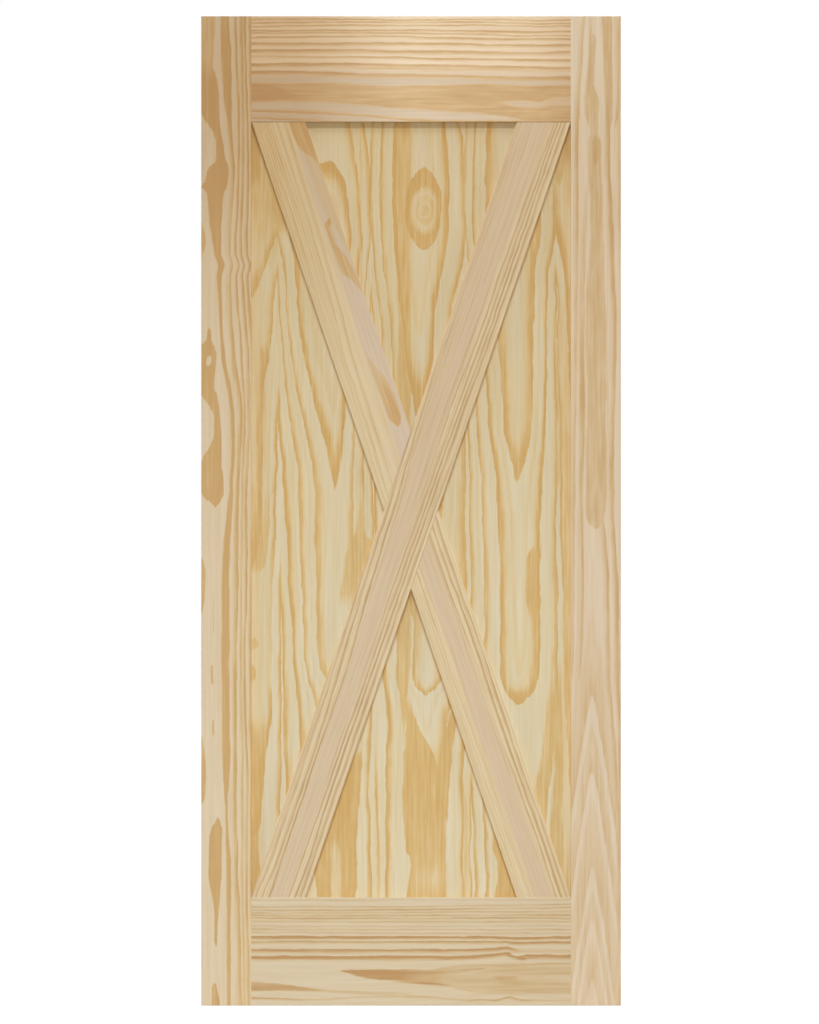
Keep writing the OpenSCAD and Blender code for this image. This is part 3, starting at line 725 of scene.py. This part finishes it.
bottomRailFigure = {
    "front": 17.5, "slant": 0.9, "seed": 16.0, "jag": 14, "sharp": 2.0, "broad": 1.4, "lineShare": 0.92,
    "lines": [
        # four strong lines that ripple together near the right end
        (7, 1.15, [(-345, 149), (200, 149), (225, 146.5), (250, 148), (345, 149)]),
        (6, [(-345, 0.8), (80, 0.9), (345, 1.2)], [(-345, 138), (200, 138.5), (225, 136.5), (345, 138)]),
        (9, [(-345, 1), (150, 1), (215, 0.9), (240, 0.5), (345, 0.5)],
         [(-345, 121), (105, 121), (170, 123), (205, 126), (222, 121), (240, 120), (345, 120)]),
        (9, 1.25, [(-345, 106), (60, 106), (170, 110), (205, 114), (222, 108), (237, 105), (252, 109),
                   (345, 109)]),
        (4, 0.5, [(-345, 158), (345, 157)]),
        (4, 0.55, 165),
        (3, 0.35, 172),
        (4, 0.5, 182),
        (4, 0.65, 189),
        (4, 0.65, [(-345, 195), (345, 196)]),
        (4, 0.55, [(-345, 200), (345, 204)]),
        (4, [(-345, 0.5), (80, 0.7), (200, 0.4), (345, 0.7)], [(-345, 207), (0, 208), (345, 213)]),
        (4, 0.5, [(-345, 214), (0, 215), (345, 220)]),
        (4, 0.4, [(-345, 229), (345, 230)]),
        (5, [(-345, 0.7), (-100, 0.4), (100, 0.5), (213, 0.8), (290, 0.3)],
         [(-345, 17), (-218, 14), (-110, 19), (-2, 21), (105, 13), (180, 12), (213, 19), (245, 12),
          (345, 13)]),
        (6, [(120, 0), (170, 0.45), (345, 0.55)], [(120, 24), (213, 34), (345, 31)]),
        (6, [(120, 0), (190, 0.5), (345, 0.65)], [(120, 80), (213, 87), (345, 91)]),
        (5, 0.7, [(-345, -9), (345, -10)]),
        (5, 0.6, [(-345, 243), (345, 244)]),
        (6, 0.8, [(-345, 255), (345, 256)]),
    ],
    "patches": [
        ([(-345, 0.65), (-230, 0.65), (-180, 0.4), (0, 0.3)], 6.0,
         [(-345, 29), (-196, 27), (0, 13), (60, 10)],
         [(-345, 54), (-300, 50), (-196, 38), (-100, 33), (0, 27), (60, 12)]),
        ([(-180, 0.8), (-120, 1), (-40, 0.9), (40, 0.6), (110, 0.4), (345, 0.42)], 5.0,
         [(-180, 77), (-150, 72), (-125, 64), (-97, 57), (0, 50), (62, 43), (172, 22), (345, 24)],
         [(-180, 73), (-150, 77), (-110, 79), (40, 80), (80, 86), (120, 91), (345, 94)]),
        # streaks within it
        ([(80, 0), (110, 0.75), (150, 0.7), (175, 0)], 3.0, [(80, 72), (175, 79)],
         [(80, 75), (110, 79), (175, 84)]),
        ([(160, 0), (190, 0.65), (225, 0.6), (250, 0)], 6.0, [(160, 56), (200, 52), (250, 56)],
         [(160, 66), (200, 67), (250, 64)]),
        ([(-60, 0), (0, 0.8), (60, 0.75), (120, 0)], 5.0, [(-60, 50), (0, 46), (120, 34)],
         [(-60, 58), (0, 57), (120, 44)]),
    ],
    "islands": [
        (0.65, 4.0, [(95, 66), (115, 66), (150, 71), (165, 75)],
         [(95, 67), (115, 73), (150, 76), (165, 75)]),
        ([(270, 0), (310, 0.6), (345, 0.75)], 9.0, [(270, 56), (310, 49), (345, 46)],
         [(270, 62), (310, 70), (345, 70)]),
        ([(240, 0), (270, 0.5), (345, 0.5)], 6.0, [(240, 80), (345, 82)], [(240, 88), (345, 91)]),
    ],
    "tone": {
        "pale": (213, 200, 174), "honey": (202, 177, 134), "amber": (184, 147, 100),
        "tint": (211, 194, 163), "tintShare": 0.5,
        # painted shade: a little darker towards the right end
        "paintedShade": [(-345, 0.05), (0, 0), (200, 0.1), (345, 0.25)],
    },
}


def makeRailPine(name, figure):
    return finishLaidPine(Board(name, sideways=True), figure)


longBraceFigure = {
    "turn": 18.9, "front": 16.0, "slant": 0.5, "seed": 21.0, "jag": 14, "sharp": 2.2, "broad": 1.2,
    "lineShare": 0.88, "threads": (6.2, 0.55),
    "lines": [
        (5, 0.9, [(-880, 23), (-200, 28), (200, 31), (400, 35), (880, 37)]),
        (6, 0.95, [(-880, 34), (-800, 38), (-600, 34), (-400, 35), (200, 39), (400, 43), (880, 45)]),
        (6, [(-880, 0.9), (0, 0.8), (250, 0.3), (500, 0)], [(-880, 47), (-200, 45), (0, 48), (400, 55)]),
        (5, [(-880, 0.2), (-400, 0.25), (-200, 0.7), (0, 0.8), (880, 0.95)],
         [(-880, 15), (-200, 18), (0, 21), (200, 23), (400, 27), (880, 30)]),
        (5, [(-500, 0), (-200, 0.35), (200, 0.7), (880, 0.9)],
         [(-500, 6), (-200, 9), (0, 13), (200, 10), (400, 17), (600, 19), (880, 23)]),
        (6, [(-100, 0), (0, 0.4), (400, 0.6), (880, 0.5)], [(-100, 5), (200, 0), (400, 5), (880, 6)]),
        (6, [(500, 0), (880, 0.45)], [(500, 10), (880, 15)]),
        (5, [(-880, 0.3), (0, 0.3), (400, 0.5), (880, 0.45)],
         [(-880, -3), (-400, -3), (0, -11), (200, -17), (880, -21)]),
        (5, [(250, 0), (600, 0.55), (880, 0.45)], [(250, -4), (600, -7), (880, -7)]),
        (6, [(-880, 1), (-400, 0.9), (0, 0.95), (300, 0.6), (500, 0.3)],
         [(-880, -18), (-600, -19), (-400, -19), (-200, -29), (0, -35), (200, -45), (600, -56)]),
        (7, 0.8, [(-880, -32), (-800, -28), (-600, -27), (-400, -33), (-200, -41), (0, -47), (200, -57)]),
        (7, 0.75, [(-880, -45), (-800, -40), (-200, -51), (0, -60)]),
        (6, 0.6, [(-880, -53), (-800, -50), (-600, -49), (-200, -60)]),
        (5, [(-350, 0), (0, 0.6), (880, 0.6)], [(-350, -17), (0, -27), (200, -38), (400, -43), (880, -51)]),
        (5, [(-100, 0), (200, 0.45), (880, 0.5)],
         [(-100, -16), (200, -27), (400, -35), (600, -39), (880, -46)]),
        (4, [(150, 0), (400, 0.4), (880, 0.5)], [(150, -18), (880, -39)]),
        (4, [(450, 0), (880, 0.45)], [(450, -22), (880, -32)]),
        (4, 0.5, [(-880, 55), (880, 57)]),
    ],
    # the plain pinkish middle
    "blush": (0.85, 8.0, [(-880, -20), (-400, -22), (-200, -30), (0, -36), (200, -48), (400, -56),
                          (880, -58)],
              [(-880, 24), (-400, 24), (0, 16), (400, 12), (880, 14)]),
    "tone": {"pale": (220, 205, 173), "honey": (206, 182, 145), "amber": (186, 158, 117),
             "tint": (217, 198, 164), "tintShare": 0.6, "blush": (210, 191, 166),
             # painted shade: darker towards the top of the brace
             "paintedShade": [(-880, 0.05), (-200, 0.1), (100, 0.25), (880, 0.35)]},
}

fineLines = [(200, 0.2), (650, 0.6), (880, 0.75)]
clearLines = [(200, 0.2), (650, 0.7), (880, 0.8)]
upperBraceFigure = {
    "turn": -18.9, "front": 16.0, "slant": 0.5, "seed": 25.0, "jag": 6, "sharp": 2.0, "broad": 1.3,
    "lineShare": 0.85,
    "lines": [
        (7, 0.6, [(60, -20), (200, -15), (350, -11), (500, 0), (880, 16)]),
        (6, 0.55, [(60, -36), (200, -30), (350, -29), (500, -15), (650, -7), (880, -1)]),
        (5, 0.5, [(60, -46), (200, -41), (350, -36), (500, -22), (650, -16), (880, -13)]),
        (4, fineLines, [(200, -49), (350, -42), (500, -29), (650, -23), (880, -19)]),
        (4, fineLines, [(200, -54), (350, -48), (500, -35), (650, -29), (880, -25)]),
        (4, clearLines, [(200, -60), (350, -54), (500, -41), (650, -36), (880, -31)]),
        (4, fineLines, [(350, -58), (500, -47), (650, -41), (880, -37)]),
        (4, clearLines, [(350, -64), (500, -53), (880, -42)]),
        (4, clearLines, [(500, -59), (650, -53), (880, -48)]),
        (4, 0.8, [(600, -60), (880, -53)]),
        (6, [(60, 0.5), (200, 0.5), (300, 0)], [(60, 8), (300, 11)]),
    ],
    "patches": [
        ([(170, 0.95), (240, 0.75), (330, 0.4), (445, 0.4)], 6.0,
         [(170, 36), (178, 29), (186, 22), (200, 16), (250, 14), (330, 12), (345, 16), (430, 17),
          (450, 22)],
         [(170, 30), (178, 34), (186, 41), (200, 47), (280, 43), (320, 30), (345, 21), (430, 19),
          (450, 15)]),
        ([(480, 0.7), (560, 0.6), (650, 0.85)], 5.0,
         [(475, 56), (482, 48), (510, 36), (530, 22), (560, 19), (640, 20), (648, 27), (655, 46)],
         [(475, 46), (482, 54), (540, 50), (570, 43), (600, 33), (630, 34), (648, 42), (655, 36)]),
        ([(745, 0.45), (800, 0.7), (880, 0.9)], 5.0,
         [(735, 60), (750, 51), (790, 40), (802, 30), (820, 21), (880, 18)],
         [(735, 52), (750, 60), (880, 60)]),
        (0.3, 6.0, [(540, 52), (600, 46), (660, 30), (880, 26)], 60),
    ],
    # the plain pinkish side, from its clear line to the edge
    "blush": (0.9, 4.0, [(60, 11), (300, 12), (450, 15), (650, 17), (880, 20)], 62),
    "tone": {"pale": (214, 197, 163), "honey": (205, 181, 137), "amber": (198, 160, 110),
             "tint": (212, 193, 160), "tintShare": 0.6, "blush": (206, 188, 167),
             # painted shade: darker towards the top of the brace
             "paintedShade": [(60, 0), (300, 0.08), (500, 0.3), (650, 0.5), (880, 0.75)]},
}

lowerBraceFigure = {
    "turn": -18.9, "front": 16.0, "slant": 0.5, "seed": 29.0, "jag": 14, "sharp": 2.0, "broad": 1.2,
    "lineShare": 0.85, "threads": (6.0, 0.5),
    "lines": [
        (6, [(-880, 0.8), (-650, 0.8), (-500, 0.35), (-350, 0.5), (-200, 0.9)],
         [(-880, 27), (-800, 29), (-650, 27), (-500, 23), (-350, 26), (-200, 22), (-60, 21)]),
        (6, 1.0, [(-880, 37), (-800, 39), (-650, 37), (-500, 34), (-350, 36), (-60, 33)]),
        (6, 0.9, [(-880, 48), (-800, 49), (-650, 47), (-500, 44), (-350, 47), (-200, 45), (-60, 45)]),
        (5, 0.35, [(-880, 16), (-650, 16), (-500, 15), (-350, 19), (-60, 12)]),
        (6, 0.25, [(-880, 5), (-60, 6)]),
        (5, [(-880, 0.2), (-200, 0.5)], [(-880, -18), (-500, -19), (-350, -14), (-200, -20)]),
        (5, [(-880, 0.35), (-350, 0.45), (-200, 0.8)],
         [(-880, -29), (-650, -26), (-500, -29), (-200, -31)]),
        (4, 0.4, [(-880, -38), (-350, -38), (-200, -39)]),
        (4, 0.4, [(-880, -44), (-650, -45), (-200, -45)]),
        (4, 0.4, -51),
    ],
    "blush": (0.85, 8.0, [(-880, -22), (-500, -22), (-200, -24)], [(-880, 24), (-200, 20)]),
    "tone": {"pale": (220, 205, 171), "honey": (207, 182, 141), "amber": (189, 158, 112),
             "tint": (217, 200, 166), "tintShare": 0.6, "blush": (209, 189, 164),
             # painted shade: slightly darker at the foot of the brace
             "paintedShade": [(-880, 0.12), (-600, 0), (-60, 0.05)]},
}


def makeBracePine(name, figure):
    middle = (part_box("long_brace")[0].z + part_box("long_brace")[1].z) / 2
    return finishLaidPine(Board(name + "_pine", (0, 0, middle), math.radians(figure["turn"])), figure)


dowelFigure = {
    "ring": 3.0, "swell": (3, 80), "sway": 2.0,
    "tone": {"pale": (222, 198, 160), "amber": (205, 172, 126)},
}


def makeDowelWood(figure):
    board = Board("dowelWood", sideways=True)
    rings = board.cloud(*figure["swell"]) * figure["sway"] + board.through / figure["ring"]
    tone = {**plainTone, **figure["tone"]}
    return finishPine(board, lateWood(board, rings, tone), tone)


dress("panel", makePanelPine(panelFigure))
dress("left_stile", makeStilePine("leftStilePine", leftStileFigure))
dress("right_stile", makeStilePine("rightStilePine", rightStileFigure))
dress("top_rail", makeRailPine("topRailPine", topRailFigure))
dress("bottom_rail", makeRailPine("bottomRailPine", bottomRailFigure))
dress("long_brace", makeBracePine("long_brace", longBraceFigure))
dress("upper_short_brace", makeBracePine("upper_short_brace", upperBraceFigure))
dress("lower_short_brace", makeBracePine("lower_short_brace", lowerBraceFigure))
dowelWood = makeDowelWood(dowelFigure)
for joint in ("top_left", "top_right", "bottom_left", "bottom_right"):
    dress(joint + "_dowels", dowelWood)
print("wood finished on", len(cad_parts), "pieces")

studio = {
    "frameHeight": 2.2086,       # what the picture's height takes in at the door's face
    "cameraDistance": 20.0, "clipEnd": 200,
    "cameraX": -0.0033,
    "cameraZ": 1.0646,
    "suns": {                    # turn round the door, height above the horizon, strength, spread, colour
        "frontSun": (0, 3, 0.9, 6, (1.0, 0.9, 0.78)),
        "highSun": (0, 47, 1.3, 5, (1.0, 1.11, 1.24)),
        "topSun": (0, 62, 0.65, 10, (1.0, 1.11, 1.24)),
        "rightSun": (80, 10, 1.2, 25, (1.0, 0.9, 0.78)),
        "leftSun": (-80, 10, 1.1, 25, (1.0, 0.9, 0.78)),
        "backSun": (180, 15, 2.0, 25, (1.0, 1.0, 1.0)),
    },
    "skyStrength": 0.12,
    "skyColour": (1.0, 0.88, 0.66, 1.0),
    "floorSize": 60.0,
    "floorColour": (0.48, 0.455, 0.42, 1.0),
    "floorGlow": 0.7,
}


def makeCamera(settings):
    bpy.ops.object.camera_add(
        location=(settings["cameraX"], cadBox[0].y - settings["cameraDistance"], settings["cameraZ"]),
        rotation=(math.radians(90), 0, 0))
    camera = bpy.context.object
    camera.data.lens = camera.data.sensor_width * settings["cameraDistance"] / settings["frameHeight"]
    camera.data.clip_end = settings["clipEnd"]
    bpy.context.scene.camera = camera


def makeLight(settings):
    for name, (turn, height, strength, spread, colour) in settings["suns"].items():
        bpy.ops.object.light_add(type="SUN", rotation=(math.radians(90 - height), 0, math.radians(turn)))
        bpy.context.object.name = name
        sun = bpy.context.object.data
        sun.energy = strength
        sun.angle = math.radians(spread)
        sun.color = colour
    world = bpy.data.worlds.new("studioSky")
    bpy.context.scene.world = world
    world.use_nodes = True
    world.node_tree.nodes.clear()
    seen = Wire(world.node_tree.nodes.new("ShaderNodeLightPath").outputs["Is Camera Ray"])
    shown = seen.math("MAXIMUM", seen, seen.output("Is Glossy Ray"))
    shown = shown.math("MAXIMUM", shown, seen.output("Is Transmission Ray"))
    strength = settings["skyStrength"] + shown * (1.0 - settings["skyStrength"])
    colour = mix(shown, settings["skyColour"], (1, 1, 1, 1))
    sky = seen.node("ShaderNodeBackground", {}, {"Color": colour, "Strength": strength})
    sky.node("ShaderNodeOutputWorld", {}, {"Surface": sky})


def makeFloor(settings):
    bpy.ops.object.select_all(action="DESELECT")
    bpy.ops.mesh.primitive_plane_add(size=settings["floorSize"], location=(0, 0, cadBox[0].z))
    floorPlane = bpy.context.object
    floorPlane.name = "floor"
    material = bpy.data.materials.new("paleFloor")
    material.use_nodes = True
    material.node_tree.nodes.clear()
    seen = Wire(material.node_tree.nodes.new("ShaderNodeLightPath").outputs["Is Camera Ray"])
    surface = seen.node("ShaderNodeBsdfPrincipled", {}, {
        "Base Color": settings["floorColour"], "Roughness": 0.9, "Specular IOR Level": 0.0})
    glow = seen.node("ShaderNodeEmission", {}, {"Strength": seen * settings["floorGlow"]})
    both = seen.node("ShaderNodeAddShader", {}, {0: surface, 1: glow})
    both.node("ShaderNodeOutputMaterial", {}, {"Surface": both})
    floorPlane.data.materials.append(material)


makeCamera(studio)
makeLight(studio)
makeFloor(studio)
bpy.context.scene.view_settings.view_transform = "Standard"
print("studio ready")
